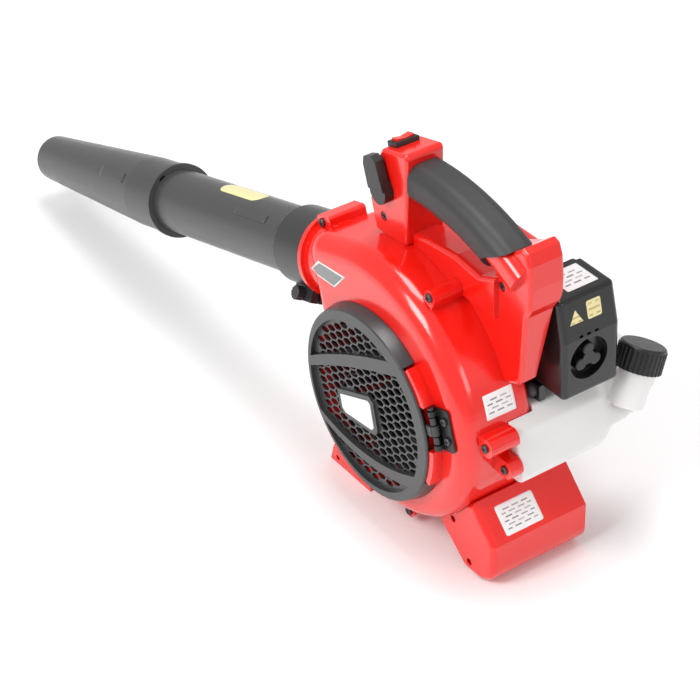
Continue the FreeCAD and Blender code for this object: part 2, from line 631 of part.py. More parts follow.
barrel_r = bore_r + 3.5
head_z = 102.0
port_z = 60.0
cyl = Part.makeCylinder(bore_r + 3, 12, V(0, engine_y, case_top - 5), V(0, 0, 1))
cyl = cyl.fuse(box(-27, 27, engine_y - 23.5, engine_y + 23.5, case_top + seat, fin_first))
cyl = cyl.fuse(Part.makeCylinder(barrel_r, head_z - fin_first, V(0, engine_y, fin_first), V(0, 0, 1)))
for i in range(fin_count):
    z0 = fin_first + fin_pitch * i
    fin = box(-27, 27, engine_y - 23.5, engine_y + 23.5, z0, z0 + fin_t)
    cyl = cyl.fuse(round_edges(fin, 8, lambda e: along(e, "z")))
exhaust_x = -46.0
intake_x = 31.0
cyl = cyl.fuse(box(exhaust_x, -12, engine_y - 14, engine_y + 14, port_z - 9, port_z + 9))
cyl = cyl.fuse(box(12, intake_x, engine_y - 14, engine_y + 14, case_top + 1, case_top + 17))
cyl = cyl.fuse(Part.makeCylinder(9, 10, V(0, engine_y, head_z - 6), V(0, 0, 1)))
cyl = cyl.cut(Part.makeCylinder(bore_r, piston_top + 1 - 20, V(0, engine_y, 20), V(0, 0, 1)))
dome = Part.makeCone(bore_r, 9, 7, V(0, engine_y, piston_top + 1), V(0, 0, 1))
cyl = cyl.cut(dome)
cyl = cyl.cut(box(exhaust_x - 1, -8, engine_y - 8, engine_y + 8, port_z - 5, port_z + 5))
cyl = cyl.cut(rod(5, (8, engine_y, case_top + 8), (intake_x + 1, engine_y, case_top + 8)))
plug_r = 5.0
cyl = cyl.cut(Part.makeCylinder(plug_r + seat, 40, V(0, engine_y, piston_top + 6), V(0, 0, 1)))
save("cylinder", cyl)

piston_h = 30.0
wrist_z = 58.0
wrist_r = 4.0
piston = Part.makeCylinder(bore_r - fit, piston_h, V(0, engine_y, piston_top - piston_h), V(0, 0, 1))
piston = piston.cut(Part.makeCylinder(bore_r - 3, piston_h - 4, V(0, engine_y, piston_top - piston_h),
                                      V(0, 0, 1)))
piston = piston.fuse(disc_y(7, engine_y - 16, engine_y - 6, 0, wrist_z))
piston = piston.fuse(disc_y(7, engine_y + 6, engine_y + 16, 0, wrist_z))
piston = piston.common(Part.makeCylinder(bore_r - fit, 60, V(0, engine_y, 40), V(0, 0, 1)))
piston = piston.cut(disc_y(wrist_r + fit, engine_y - 20, engine_y + 20, 0, wrist_z))
save("piston", piston)
save("wrist_pin", disc_y(wrist_r, engine_y - 15, engine_y + 15, 0, wrist_z))
rod_gap = 1.2
small_end = disc_y(7, engine_y - 4.5, engine_y + 4.5, 0, wrist_z)
big_end = disc_y(pin_r + 4 + rod_gap, engine_y - 4.5, engine_y + 4.5, 0, throw)
shank = box(-4.5, 4.5, engine_y - 3, engine_y + 3, throw, wrist_z)
con_rod = small_end.fuse(big_end).fuse(shank)
con_rod = con_rod.cut(disc_y(wrist_r + fit, 100, 150, 0, wrist_z))
con_rod = con_rod.cut(disc_y(pin_r + rod_gap, 100, 150, 0, throw))
con_rod = con_rod.cut(box(-30, 30, 100, 150, -30, throw + 8.5))
save("connecting_rod", con_rod)

plug = Part.makeCylinder(plug_r, head_z + 4 - piston_top - 7, V(0, engine_y, piston_top + 7), V(0, 0, 1))
plug = plug.fuse(Part.makeCylinder(8, 6, V(0, engine_y, head_z + 4 + seat), V(0, 0, 1)))
save("spark_plug", plug.fuse(Part.makeCylinder(4, 22, V(0, engine_y, head_z + 4), V(0, 0, 1))))
boot = Part.makeCylinder(8.5, 22, V(0, engine_y, head_z + 14), V(0, 0, 1))
boot = boot.fuse(disc_y(4.5, engine_y, engine_y + 24, 0, head_z + 29))
boot = boot.cut(Part.makeCylinder(4 + fit, 13, V(0, engine_y, head_z + 13.5), V(0, 0, 1)))
save("plug_boot", boot)

# ---- flywheel, ignition coil, starter ------------------------------------------------------------
flywheel = disc_y(flywheel_r, flywheel_y0, flywheel_y1)
flywheel = flywheel.cut(ring_y(flywheel_r - 6, 18, flywheel_y0 + 5, flywheel_y1 + 1))
for i in range(10):
    fin_w = box(20, flywheel_r - 5, flywheel_y0 + 4, flywheel_y1, -1, 1)
    fin_w.rotate(V(0, 0, 0), V(0, 1, 0), 36 * i)
    flywheel = flywheel.fuse(fin_w)
flywheel = flywheel.cut(disc_y(shaft_r + fit, flywheel_y0 - 1, flywheel_y1 + 1))
save("flywheel", flywheel)
fly_nut = prism_y([polar(9, 60 * i) for i in range(6)], flywheel_y1 + seat, flywheel_y1 + 5)
save("flywheel_nut", fly_nut.cut(disc_y(thread_r + fit, flywheel_y1 - 1, flywheel_y1 + 6)))

coil_wedge = [(0, 0)] + [polar(90, 68 + 44 * i / 4) for i in range(5)]
coil = ring_y(starter_r - 3.5, flywheel_r + 0.8, flywheel_y0, flywheel_y1 - 1)
coil = coil.common(prism_y(coil_wedge, 100, 200))
for a in coil_lugs:
    lx, lz = polar(lug_reach - 1.5, a)
    coil = coil.fuse(disc_y(3.2, lug_face, flywheel_y0 + 1, lx, lz))
save("ignition_coil", coil)

cup_y0 = lug_face
end_y = starter_y1 - 2.5
starter = ring_y(starter_r, starter_r - 2.5, cup_y0 + 1, starter_y1).fuse(disc_y(starter_r, end_y, starter_y1))
starter = round_edges(starter, 2.0, lambda e: at_y(e, starter_y1))
for i in range(12):
    slot = box(26, 50, end_y - 1, starter_y1 + 1, -3, 3)
    slot.rotate(V(0, 0, 0), V(0, 1, 0), 30 * i + 15)
    starter = starter.cut(slot)
for a in starter_lugs:
    lx, lz = polar(lug_reach, a)
    tab = disc_y(5.0, cup_y0, cup_y0 + 1.8, lx, lz).common(disc_y(starter_r, cup_y0, 200))
    starter = starter.fuse(tab).fuse(ring_y(starter_r, lug_reach, cup_y0, cup_y0 + 1.8).common(
        disc_y(9, cup_y0, cup_y0 + 2, lx, lz)))
    starter = starter.cut(disc_y(1.95, cup_y0 - 1, cup_y0 + 3, lx, lz))
post_r = 5.0
starter = starter.fuse(disc_y(post_r, flywheel_y1 + 8, end_y + 0.5))
rope_x = -20.0
rope_r = 1.3
pulley_y0 = 180.0
pulley_y1 = 190.0
rope_y = (pulley_y0 + pulley_y1) / 2
rope_exit_z = starter_r - 1
guide = Part.makeCylinder(4, 12, V(rope_x, rope_y, rope_exit_z - 9), V(0, 0, 1))
starter = starter.fuse(guide).cut(Part.makeCylinder(rope_r + 0.5, 30, V(rope_x, rope_y, 40), V(0, 0, 1)))
save("starter_housing", starter)
pulley = disc_y(pulley_r, pulley_y0, pulley_y1)
pulley = pulley.cut(ring_y(pulley_r + 5, pulley_r - 5, rope_y - 2.4, rope_y + 2.4))
pulley = pulley.fuse(disc_y(9, pulley_y0 - 3, pulley_y0 + 1)).cut(disc_y(post_r + fit, 170, 200))
save("starter_pulley", pulley)
recoil = ring_y(20, 17.5, pulley_y1 + 0.6, pulley_y1 + 9).fuse(ring_y(15, 12.5, pulley_y1 + 0.6, pulley_y1 + 9))
recoil = recoil.fuse(ring_y(10, 7.5, pulley_y1 + 0.6, pulley_y1 + 9))
recoil = recoil.fuse(box(9, 18, pulley_y1 + 0.6, pulley_y1 + 9, -0.6, 0.6))
recoil = recoil.fuse(box(post_r + seat, 9, pulley_y1 + 0.6, pulley_y1 + 9, -0.6, 0.6))
save("recoil_spring", recoil)
rope_top = rope_exit_z + 8
rope_low = -44.0
save("starter_rope", rod(rope_r, (rope_x, rope_y, rope_low), (rope_x, rope_y, rope_top)))
grip_bar = box(rope_x - 6, rope_x + 6, rope_y - 18, rope_y + 18, rope_exit_z + 3.5, rope_exit_z + 16)
grip_bar = round_edges(grip_bar, 5, lambda e: along(e, "y"))
grip_bar = grip_bar.cut(Part.makeCylinder(rope_r + fit, 5.5, V(rope_x, rope_y, rope_exit_z + 3), V(0, 0, 1)))
save("starter_handle", grip_bar)
lug_screws = []
for a in starter_lugs:
    lx, lz = polar(lug_reach, a)
    lug_screws.append(disc_y(3.4, cup_y0 + 1.9, cup_y0 + 4, lx, lz).fuse(
        disc_y(1.8, cup_y0 - 4, cup_y0 + 2, lx, lz)).common(disc_y(starter_r - 2.6, 100, 200)))

# ---- engine shroud -------------------------------------------------------------------------------
shroud_wall = 2.5
shroud_x0 = -44.0
shroud_x1 = 104.0
shroud_y0 = back_y + 0.4
shroud_y1 = 162.0
shroud_z0 = 64.5
shroud_z1 = 165.0


def shroud_shape(inset):
    s = box(shroud_x0 + inset, shroud_x1 - inset, shroud_y0 + inset, shroud_y1 - inset, shroud_z0 - inset,
            shroud_z1 - inset)
    s = round_edges(s, 16 - inset, lambda e: along(e, "y") and e.CenterOfMass.z > 100)
    return round_edges(s, 9 - inset, lambda e: e.CenterOfMass.y > shroud_y1 - 9 and e.CenterOfMass.z > shroud_z0
                       and not along(e, "y"))


shroud = shroud_shape(0).cut(shroud_shape(shroud_wall))
shroud = shroud.cut(box(shroud_x0 - 1, shroud_x0 + 5, engine_y - 16, engine_y + 16, shroud_z0 - 5, port_z + 14))
for i in range(5):
    z = 88 + 9 * i
    shroud = shroud.cut(box(shroud_x0 - 1, shroud_x0 + 5, engine_y - 18, engine_y + 22, z, z + 4))
    shroud = shroud.cut(box(-24, 26, shroud_y1 - 5, shroud_y1 + 1, z, z + 4))
shroud = shroud.cut(rod(14, (shroud_x1 - 5, engine_y, carb_z), (shroud_x1 + 1, engine_y, carb_z)))
save("engine_shroud", shroud)

# ---- muffler -------------------------------------------------------------------------------------
gasket_x = exhaust_x - 1.0
gasket = box(gasket_x + seat, exhaust_x - seat, engine_y - 13, engine_y + 13, port_z - 8, port_z + 8)
save("muffler_gasket", gasket.cut(box(gasket_x - 1, exhaust_x + 1, engine_y - 8, engine_y + 8,
                                      port_z - 5, port_z + 5)))
muffler_x0 = -84.0
muffler = box(muffler_x0, gasket_x, 101, 147, 26, 96)
muffler = round_edges(muffler, 8, lambda e: along(e, "y"))
muffler_core = box(muffler_x0 + 1.5, gasket_x - 1.5, 102.5, 145.5, 27.5, 94.5)
muffler = muffler.cut(round_edges(muffler_core, 6.5, lambda e: along(e, "y")))
muffler = muffler.cut(box(gasket_x - 3, gasket_x + 1, engine_y - 8, engine_y + 8, port_z - 5, port_z + 5))
muffler = muffler.cut(box(muffler_x0 - 1, muffler_x0 + 3, engine_y - 8, engine_y + 8, 32, 40))
save("muffler", muffler)
cover_box = box(-92, -52, 98, 153, 14, 106)
cover_box = round_edges(cover_box, 8, lambda e: along(e, "y"))
cover_core = box(-90, -40, 100, 151, 16, 104)
muffler_guard = cover_box.cut(cover_core)
for i in range(6):
    z = 28 + 11 * i
    muffler_guard = muffler_guard.cut(box(-93, -89, 108, 143, z, z + 5))
muffler_guard = muffler_guard.fuse(box(-90.5, muffler_x0 - 0.4, engine_y - 5, engine_y + 5, 84, 92))
save("muffler_guard", muffler_guard)

# ---- intake, carburettor, air filter --------------------------------------------------------------
carb_x0 = 52.0
carb_x1 = 86.0
low = box(intake_x + seat, intake_x + 5, engine_y - 13, engine_y + 13, case_top + 2, case_top + 16)
high = box(carb_x0 - 4, carb_x0 - seat, engine_y - 13, engine_y + 13, carb_z - 11, carb_z + 11)
slab = prism_y([(intake_x + 4, case_top + 2), (intake_x + 4, case_top + 16), (carb_x0 - 3, carb_z + 11),
                (carb_x0 - 3, carb_z - 11)], engine_y - 11, engine_y + 11)
insulator = low.fuse(high).fuse(slab)
insulator = insulator.cut(rod(5, (intake_x - 4, engine_y, case_top + 5), (carb_x0 + 2, engine_y, carb_z + 3)))
save("intake_insulator", insulator)

carb = box(carb_x0, carb_x1, engine_y - 18, engine_y + 18, carb_z - 15, carb_z + 16)
carb = round_edges(carb, 3, lambda e: along(e, "x"))
carb = carb.fuse(disc_y(9, engine_y - 10, engine_y + 10, 69, carb_z - 15))
throat_r = 8.0
carb = carb.cut(rod(throat_r, (carb_x0 - 1, engine_y, carb_z), (carb_x1 + 1, engine_y, carb_z)))
shaft_x = 62.0
carb = carb.cut(disc_y(2.5 + fit, engine_y - 30, engine_y + 15, shaft_x, carb_z))
save("carburettor", carb)
lever_y = engine_y - 21.5
throttle_shaft = disc_y(2.5, lever_y - 1, engine_y + 14, shaft_x, carb_z)
throttle_shaft = throttle_shaft.fuse(rod(throat_r - 0.4, (shaft_x - 0.6, engine_y, carb_z),
                                         (shaft_x + 0.6, engine_y, carb_z)))
throttle_shaft = throttle_shaft.fuse(prism_y([(shaft_x - 4, carb_z), (shaft_x + 4, carb_z),
                                              (shaft_x + 2.5, carb_z + 17), (shaft_x - 2.5, carb_z + 17)],
                                             lever_y - 1, lever_y + 1))
save("throttle_shaft", throttle_shaft)

base_x0 = shroud_x1 + 2
base_x1 = cover_x0 = 112.0
filter_base = box(base_x0, base_x1 - gap, cover_y0, cover_y1 - 1, cover_z0 + 1, cover_z1 - 2)
filter_base = round_edges(filter_base, 8, lambda e: along(e, "x"))
filter_base = filter_base.fuse(rod(13, (carb_x1 + seat, engine_y, carb_z), (base_x0 + 1, engine_y, carb_z)))
filter_base = filter_base.cut(rod(throat_r, (carb_x1 - 1, engine_y, carb_z), (base_x1 + 1, engine_y, carb_z)))
knob_y = 136.0
knob_z = 96.0
stud_r = 3.0
stud_x = 165.0
filter_base = filter_base.fuse(rod(stud_r, (base_x0 + 1, knob_y, knob_z), (stud_x, knob_y, knob_z)))
primer_x = 125.0
primer_z = 47.5
primer_r = 7.5
holder = box(base_x0 + 1, primer_x + 11, cover_y0 - 1, cover_y0 + 6, tank_z1 + 1, cover_z0 - gap)
holder = holder.fuse(box(base_x0 + 1, base_x1 - gap, cover_y0 + 0.5, cover_y0 + 6, tank_z1 + 1, cover_z0 + 12))
filter_base = filter_base.fuse(holder).cut(disc_y(primer_r + gap, 90, 130, primer_x, primer_z))
save("air_filter_base", filter_base)
primer = disc_y(primer_r, cover_y0 - 1, cover_y0 + 2, primer_x, primer_z)
primer = primer.fuse(Part.makeSphere(primer_r, V(primer_x, cover_y0 - 1, primer_z)))
save("primer_bulb", primer)

element = box(base_x1 + seat, base_x1 + 20, cover_y0 + 6, cover_y1 - 7, cover_z0 + 8, cover_z1 - 14)
element = element.cut(rod(stud_r + 2, (100, knob_y, knob_z), (160, knob_y, knob_z)))
save("air_filter_element", element)


def cover_shape(inset):
    s = prism_y([(cover_x0, cover_z0 + inset), (170 - inset, cover_z0 + inset), (168.4 - inset, cover_z0 + 64),
                 (158 - inset, cover_z1 - inset), (cover_x0, cover_z1 - inset)],
                cover_y0 + inset, cover_y1 - inset)
    s = round_edges(s, 6 - inset, lambda e: e.CenterOfMass.x > 150 and not along(e, "y"))
    return round_edges(s, 5 - inset, lambda e: along(e, "x"))


cover_wall = 2.2
filter_cover = cover_shape(0).cut(cover_shape(cover_wall))
dish = rod(22, (160, knob_y, knob_z), (180, knob_y, knob_z))
filter_cover = filter_cover.fuse(rod(24, (157, knob_y, knob_z), (172, knob_y, knob_z)).common(cover_shape(0)))
filter_cover = filter_cover.cut(dish)
filter_cover = filter_cover.cut(rod(stud_r + 0.6, (120, knob_y, knob_z), (170, knob_y, knob_z)))
for y in (knob_y - 9, knob_y, knob_y + 9):
    filter_cover = filter_cover.cut(box(150, 180, y - 2.2, y + 2.2, knob_z + 25.5, knob_z + 28))
save("air_filter_cover", filter_cover)
knob_x0 = 160.4
knob_x1 = 169.0
knob = rod(7, (knob_x0, knob_y, knob_z), (knob_x1, knob_y, knob_z))
for i in range(3):
    ky, kz = polar(9.5, 120 * i + 90)
    lobe = rod(6.5, (knob_x0, knob_y + ky, knob_z + kz), (knob_x1, knob_y + ky, knob_z + kz))
    knob = knob.fuse(round_edges(lobe, 1.5, lambda e: abs(e.BoundBox.XMin - knob_x1) < 0.01))
knob = knob.cut(rod(stud_r + fit, (150, knob_y, knob_z), (stud_x + 1, knob_y, knob_z)))
save("cover_knob", knob)

# ---- fuel tank --------------------------------------------------------------------------------
neck_low = V(160, 204, 48.6)
neck_axis = V(-0.11, math.tan(math.radians(cap_lean)), 1).normalize()
neck_root = neck_low - neck_axis * 38
neck_r_out = 17.5
neck_r_in = 14.5


def tank_shape(inset):
    """The outside of the tank, or the same shape made smaller all round."""
    i = inset
    section = [(tank_x0 + i, tank_z0 + i), (tank_x1 - i, tank_z0 + i), (159 - i, -3), (150 - i, 24.5 - i),
               (135 - i, tank_z1 - i), (tank_x0 + i, tank_z1 - i)]
    shape = prism_y(section, tank_y0 + i, tank_y1 - i)
    shape = round_edges(shape, 9 - i, lambda e: along(e, "y") and e.CenterOfMass.x > 140)
    below = prism_x([(150, -40), (157, tank_z0 + i), (176, -9 + i), (211, -4.5 + i), (233 - i, 12), (238 - i, 18),
                     (260, 19), (260, -40)], 0, 300)
    return shape.cut(below)


big_space = clear_of_housing(2 * seat + tank_wall)
tank = tank_shape(0).cut(house_space)
tank = tank.fuse(Part.makeCylinder(neck_r_out, 44, neck_root, neck_axis))
tank_room = tank_shape(tank_wall).cut(big_space)
tank = tank.cut(tank_room).cut(Part.makeCylinder(neck_r_in, 60, neck_root - neck_axis * 3, neck_axis))
tank = max(tank.Solids, key=lambda s: s.Volume)
fuel_line_r = 2.5
line_x = 96.0
tank = tank.cut(Part.makeCylinder(fuel_line_r + fit, 20, V(line_x, engine_y, tank_z1 - 10), V(0, 0, 1)))
save("fuel_tank", tank)
cap = Part.makeCylinder(cap_r - 1, cap_height, neck_low, neck_axis)
cap = round_edges(cap, 2.5, lambda e: (e.CenterOfMass - neck_low).dot(neck_axis) > cap_height - 1)
side_1 = neck_axis.cross(V(1, 0, 0)).normalize()
side_2 = neck_axis.cross(side_1).normalize()
for i in range(30):
    a = math.radians(12 * i)
    base = neck_low + side_1 * (cap_r - 1.4) * math.cos(a) + side_2 * (cap_r - 1.4) * math.sin(a)
    cap = cap.fuse(Part.makeCylinder(1.4, cap_height - 3.5, base, neck_axis))
cap_depth = 17.0
cap = cap.cut(Part.makeCylinder(neck_r_out + gap, cap_depth, neck_low - neck_axis * 1, neck_axis))
save("fuel_cap", cap)
fuel_line = Part.makeCylinder(fuel_line_r, 30, V(line_x, engine_y, tank_z1 - 12), V(0, 0, 1))
fuel_line = fuel_line.fuse(rod(fuel_line_r, (line_x, engine_y, tank_z1 + 18), (76, engine_y, carb_z - 28)))
fuel_line = fuel_line.fuse(Part.makeSphere(fuel_line_r, V(line_x, engine_y, tank_z1 + 18)))
save("fuel_line", fuel_line.cut(disc_y(9 + seat, 80, 160, 69, carb_z - 15)))

# ---- stand --------------------------------------------------------------------------------------
stand_wall = 3.0
rear_leg = [(60, -100), (105.7, -66), (122.6, -60), (156, -94), (156, -fan_height), (118, -fan_height)]
front_leg = [(-104, -126), (-98, -120), (-40, -136), (-40, -fan_height), (-111, -fan_height)]
rear = prism_y(rear_leg, leg_y, leg_far)
rear = round_edges(rear, 27, lambda e: along(e, "y") and e.CenterOfMass.x > 150 and e.CenterOfMass.z < -120)
rear = round_edges(rear, 7, lambda e: at_y(e, leg_y) and e.CenterOfMass.x > 100)
rear_core = prism_y([(66, -105), (104, -71), (121.4, -64.5), (152, -95.5), (152, -126), (146, -136), (136, -141),
                     (136, -160), (124, -160), (122, -148)], leg_y + stand_wall, leg_far - stand_wall)
rear = rear.cut(rear_core)
front = prism_y(front_leg, leg_y - 6, leg_far)
front = front.cut(prism_y([(-101, -130), (-97, -124), (-43, -140), (-43, -160), (-107, -160)],
                          leg_y - 3, leg_far - stand_wall))
base_z = -fan_height + 6
base_plate = box(-105, 140, base_y0, leg_far, -fan_height, base_z)
spine = prism_y([(-60, base_z - 1), (110, base_z - 1), (110, -95), (60, -60), (-30, -60), (-60, -100)],
                back_y + 0.3, back_y + 4.3)
stand = rear.fuse(front).fuse(base_plate).fuse(spine)
stand = stand.cut(tilt(disc_y(spiral_r + 18, back_y, back_y + 0.2))).cut(house_space)
stand_hole_r = 3.8
for x, z in ((92.7, -97.9), (118.3, -135.3)):
    stand = stand.cut(disc_y(stand_hole_r, leg_y - 1, leg_y + stand_wall + 1, x, z))
stand = stand.cut(disc_y(3.0, leg_y - 8, leg_y - 2, -97.7, -140.4))
spine_screws = [(-10.0, -76.0), (44.0, -76.0)]
for x, z in spine_screws:
    stand = stand.cut(disc_y(2.1, 90, 110, x, z))
stand = max(stand.Solids, key=lambda s: s.Volume)
save("stand", stand)
stand_screws = [disc_y(4.5, back_y + 4.4, back_y + 7, x, z).fuse(
    disc_y(2.0, back_y + seat, back_y + 5, x, z)) for x, z in spine_screws]
save("engine_screws", *case_bolts, *lug_screws, *stand_screws)

# ---- handle -------------------------------------------------------------------------------------
grip_arc = Part.Arc(V(-20, 0, 223), V(40, 0, 225), V(132, 0, 200.5)).toShape().Curve
grip_mid = grip_arc.Center
grip_radius = grip_arc.Radius


def grip_angle(x):
    """Angle on the grip's centre line at a given x, in degrees."""
    return math.degrees(math.acos((x - grip_mid.x) / grip_radius))


def grip_shape(half_y, half_z, x0, x1):
    """An oval bar that follows the curved centre line of the grip."""
    dx, dz = polar(1.0, grip_angle(x0))
    outward = V(dx, 0, dz)
    middle = V(grip_mid.x, handle_mid, grip_mid.z) + outward * grip_radius
    corner = 0.72 * half_z
    wide = half_y - corner
    high = half_z - corner
    slant = corner * math.sqrt(0.5)
    outline = []
    for sy, sz in ((1, 1), (-1, 1), (-1, -1), (1, -1)):
        hub = middle + V(0, sy * wide, 0) + outward * (sz * high)
        ends = [hub + V(0, sy * corner, 0), hub + outward * (sz * corner)]
        bend = hub + V(0, sy * slant, 0) + outward * (sz * slant)
        outline.append(Part.Arc(ends[0], bend, ends[1]).toShape())
        flat = V(0, -2 * sy * wide, 0) if sy * sz > 0 else outward * (-2 * sz * high)
        start = ends[1] if sy * sz > 0 else ends[0]
        outline.append(line(start, start + flat))
    face = Part.Face(Part.Wire(Part.__sortEdges__(outline)))
    return face.revolve(grip_mid, V(0, 1, 0), grip_angle(x0) - grip_angle(x1))


def outer_edges(shape, y0, y1):
    return edges_where(shape, lambda e: at_y(e, y0) or at_y(e, y1))


handle_wall = 3.0
post_outline = [(-57, 152), (-66, 183), (-52, 234), (-45, 246), (-7, 256), (-5, 250), (-7, 159), (-12, 152)]
post = prism_y(post_outline, post_y, handle_far)
post = round_edges(post, 4, lambda e: along(e, "y"))
post = post.makeFillet(3.5, outer_edges(post, post_y, handle_far))
post_room = prism_y([(-54, 157), (-62, 183), (-49, 231), (-44, 242), (-11, 250), (-10.5, 163), (-14, 157)],
                    post_y + handle_wall, handle_far - handle_wall)
pedestal = prism_y([(-52, 130), (-52, 158), (-12, 160), (-12, 130)], 64, 95)
rail = prism_y([(-10, 168), (12, 172.5), (57, 177.5), (93, 173.5), (116, 184), (116, 140), (-10, 140)], 66, 94)
rail = round_edges(rail, 5, lambda e: along(e, "x") is False and at_y(e, 66) and e.CenterOfMass.z > 165)

rear_far = 112.0
rear_outline = [(58, 138), (73, 146), (88, 158), (107, 176), (109, 185), (104, 196), (103, 201), (112.5, 207.5),
                (134, 219), (147, 228.5), (154, 226), (159, 214), (161, 190), (160, 168), (155, 158),
                (149, 83), (145, 78), (120, 68), (80, 80)]
rear_post = prism_y(rear_outline, panel_y, rear_far)
rear_post = rear_post.makeFillet(4, outer_edges(rear_post, panel_y, rear_far))
taper = prism_x([(rear_far + 1, 181), (104.5, 162.6), (89, 77), (89, 50), (140, 50), (140, 181)], 40, 180)
rear_room = prism_y([(84, 150), (108, 172), (112.5, 184), (108, 198), (114, 204), (136, 215), (147, 224),
                     (153, 221), (155.5, 212), (157.5, 190), (156.5, 169), (151.5, 159), (145.5, 85),
                     (130, 82), (90, 90)], panel_y + handle_wall, rear_far - handle_wall)
inner_taper = prism_x([(rear_far - 2, 183), (101, 162.6), (86, 77), (86, 50), (140, 50), (140, 183)], 40, 180)
rear_room = rear_room.cut(inner_taper).cut(big_space)
shroud_space = box(shroud_x0 - 1, shroud_x1 + 0.5, shroud_y0 - 0.4, shroud_y1, 50, shroud_z1 + 0.5)

core_y = grip_half_y - grip_wall
core_z = grip_half_z - grip_wall
core = grip_shape(core_y, core_z, -30, 146)
core_room = grip_shape(core_y - handle_wall, core_z - handle_wall, -28, 138)
handle = post.fuse(core).fuse(rear_post.cut(taper)).fuse(rail).fuse(pedestal)
handle = handle.cut(post_room).cut(core_room).cut(rear_room)
handle_screws = [(-43.4, 172.8, post_y), (120.5, 175.0, panel_y)]
pivot = (2.0, 218.0)
trigger_pin_r = 2.5
for x, z, y in handle_screws:
    handle = handle.fuse(disc_y(5.0, y + 1, handle_far - 1, x, z))
for y0, y1 in ((68, 73.5), (86.5, 92)):
    handle = handle.fuse(disc_y(5.5, y0, y1, *pivot))
handle = handle.cut(disc_y(trigger_pin_r + fit, 67.5, 92.5, *pivot))
for x, z, y in handle_screws:
    handle = handle.cut(disc_y(4.8, y - 1, y + 3, x, z)).cut(disc_y(2.0, y, handle_far - 5, x, z))
lever_pivot = (-38.0, 206.0)
lever_pin_r = 4.0
handle = handle.cut(disc_y(lever_pin_r + fit, post_y - 1, post_y + 6, *lever_pivot))
slot_y0 = handle_mid - 5.6
slot_y1 = handle_mid + 5.6
trigger_slot = box(-6.9, 41, slot_y0, slot_y1, 186, 214)
handle = handle.cut(trigger_slot).cut(house_space).cut(shroud_space)

switch_place = V(-39.5, handle_mid, 249.2)
switch_lean = -14.7


def place_switch(shape):
    shape = shape.copy()
    shape.rotate(V(0, 0, 0), V(0, 1, 0), switch_lean)
    shape.translate(switch_place)
    return shape


bezel_block = box(-7.5, 7.5, -13, 13, -4, 3.5)
handle = handle.cut(place_switch(box(-7.6, 7.6, -13.1, 13.1, -4.1, 20)))
for name, half in (("handle_left", box(-300, 300, 0, handle_mid, 0, 400)),
                   ("handle_right", box(-300, 300, handle_mid, 200, 0, 400))):
    piece = max(handle.common(half).Solids, key=lambda s: s.Volume)
    save(name, piece)
save("handle_screws", *[screw(x, y + 2.9, z, 4.4, 1.9, handle_far - 9 - y) for x, z, y in handle_screws])

bezel = round_edges(bezel_block, 1.2, lambda e: e.CenterOfMass.z > 3.4)
rocker_pin_r = 1.2
bezel = bezel.cut(box(-5, 5, -10.5, 10.5, -1.5, 5))
bezel = bezel.cut(rod(rocker_pin_r + fit, (-6.8, 0, rocker_pin_r), (6.8, 0, rocker_pin_r)))
save("switch_bezel", place_switch(bezel))
rocker = rod(rocker_pin_r, (-6.5, 0, rocker_pin_r), (6.5, 0, rocker_pin_r))
rocker = rocker.fuse(prism_x([(-9.4, 0.6), (9.4, 0.6), (9.4, 5.8), (0, 4.2), (-9.4, 5.8)], -4.5, 4.5))
save("stop_rocker", place_switch(rocker))

grip = grip_shape(grip_half_y, grip_half_z, -14, 150).cut(grip_shape(core_y + seat, core_z + seat, -30, 160))
grip = grip.cut(prism_y(post_outline, 0, 200).fuse(box(-80, -6.6, 0, 200, 100, 300)))
rear_cut = prism_y([(x, z) for x, z in rear_outline if z > 180] + [(200, 180)], 0, 200)
grip = grip.cut(rear_cut).cut(trigger_slot)
grip = max(grip.Solids, key=lambda s: s.Volume)
save("handle_grip", grip)

trigger = prism_y([(-2.5, 221), (-4.5, 214), (3, 204), (13, 196.5), (23, 195), (33, 200), (38.5, 207),
                   (37, 212), (20, 213.5), (9, 221.5)], handle_mid - 5, handle_mid + 5)
trigger = round_edges(trigger, 1.5, lambda e: along(e, "y") and e.CenterOfMass.z < 214)
trigger = trigger.fuse(disc_y(trigger_pin_r, 68, 92, *pivot))
save("throttle_trigger", trigger)

lever = disc_y(12.5, 47.5, post_y - gap, *lever_pivot)
arm = prism_y([(-50.3, 206), (-57.5, 229), (-56.5, 238), (-45, 243), (-38, 239), (-26, 210)], 45.5, 55)
arm = round_edges(arm, 2.0, lambda e: along(e, "y"))
lever = lever.fuse(arm).fuse(disc_y(lever_pin_r, 50, post_y + 5, *lever_pivot))
save("cruise_lever", lever)
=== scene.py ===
"""Looks of a handheld petrol leaf blower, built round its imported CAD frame, in metres."""

import bpy
import bmesh
import math
from mathutils import Matrix, Vector
from mathutils.bvhtree import BVHTree


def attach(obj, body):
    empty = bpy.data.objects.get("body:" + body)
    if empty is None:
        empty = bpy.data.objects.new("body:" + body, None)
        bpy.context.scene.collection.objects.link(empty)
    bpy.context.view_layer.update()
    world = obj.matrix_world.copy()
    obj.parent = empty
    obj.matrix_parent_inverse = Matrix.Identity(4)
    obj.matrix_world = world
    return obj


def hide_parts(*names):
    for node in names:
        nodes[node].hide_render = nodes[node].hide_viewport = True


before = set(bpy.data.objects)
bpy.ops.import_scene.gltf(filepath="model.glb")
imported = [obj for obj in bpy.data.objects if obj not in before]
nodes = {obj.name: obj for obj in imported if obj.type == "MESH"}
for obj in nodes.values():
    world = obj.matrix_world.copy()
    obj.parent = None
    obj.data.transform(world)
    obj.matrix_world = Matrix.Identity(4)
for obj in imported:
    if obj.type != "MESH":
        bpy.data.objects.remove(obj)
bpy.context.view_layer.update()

# ---- fan housing ----------------------------------------------------------------------------
# Two glossy red shells, injection moulded and screwed together round the fan.
# The skin is polished, with a faint ripple where the plastic shrank over its ribs.
housing_red = (0.82, 0.010, 0.005, 1)


